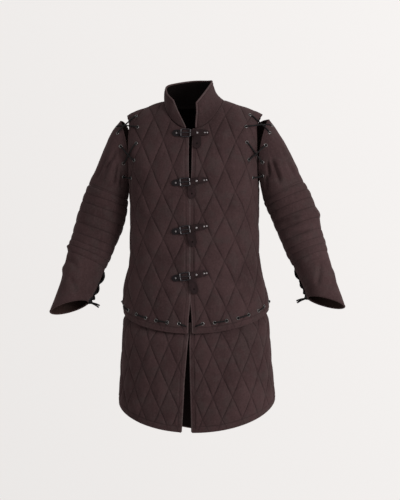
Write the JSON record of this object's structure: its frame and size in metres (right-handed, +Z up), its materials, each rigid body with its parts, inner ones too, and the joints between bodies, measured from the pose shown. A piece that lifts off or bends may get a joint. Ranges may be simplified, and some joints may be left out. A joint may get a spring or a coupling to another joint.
{
  "type": "gambeson",
  "caption": "Padded, diamond-quilted arming coat with a stand collar, laced-on sleeves and skirt, padded elbows and buckled front straps, standing hollow as worn.",
  "frame": {"origin": "between the shoulders at the base of the neck, where the coat hangs from the wearer's shoulders", "axes": "+Z up, -Y towards the coat's front, +X towards the wearer's left"},
  "size_m": [0.8794, 0.3622, 1.0699],
  "materials": {
    "cloth": "matt, finely napped",
    "black_cloth": "matt",
    "leather": "worn, half matt",
    "metal": "dark, worn bright on the edges",
    "lace": "waxed cord"
  },
  "bodies": {
    "root": {"armhole_lace_back_left": "lace", "armhole_lace_back_right": "lace", "armhole_lace_front_left": "lace", "armhole_lace_front_right": "lace", "armhole_lace_low_left": "lace", "armhole_lace_low_right": "lace", "armhole_lace_top_left": "lace", "armhole_lace_top_right": "lace", "closure_1_buckle": "metal", "closure_1_strap": "leather", "closure_1_tab": "leather", "closure_2_buckle": "metal", "closure_2_strap": "leather", "closure_2_tab": "leather", "closure_3_buckle": "metal", "closure_3_strap": "leather", "closure_3_tab": "leather", "closure_4_buckle": "metal", "closure_4_strap": "leather", "closure_4_tab": "leather", "collar": "cloth", "forearm_gusset_left": "black_cloth", "forearm_gusset_right": "black_cloth", "forearm_lace_left": "lace", "forearm_lace_right": "lace", "skirt_back": "cloth", "skirt_front_left": "cloth", "skirt_front_right": "cloth", "sleeve_elbow_left": "cloth", "sleeve_elbow_right": "cloth", "sleeve_forearm_left": "cloth", "sleeve_forearm_right": "cloth", "sleeve_upper_left": "cloth", "sleeve_upper_right": "cloth", "torso_back": "cloth", "torso_front_left": "cloth", "torso_front_right": "cloth", "waist_lace_left_0": "lace", "waist_lace_left_1": "lace", "waist_lace_left_2": "lace", "waist_lace_left_3": "lace", "waist_lace_left_4": "lace", "waist_lace_left_5": "lace", "waist_lace_left_6": "lace", "waist_lace_left_7": "lace", "waist_lace_left_8": "lace", "waist_lace_right_0": "lace", "waist_lace_right_1": "lace", "waist_lace_right_2": "lace", "waist_lace_right_3": "lace", "waist_lace_right_4": "lace", "waist_lace_right_5": "lace", "waist_lace_right_6": "lace", "waist_lace_right_7": "lace", "waist_lace_right_8": "lace"}
  },
  "joints": []
}
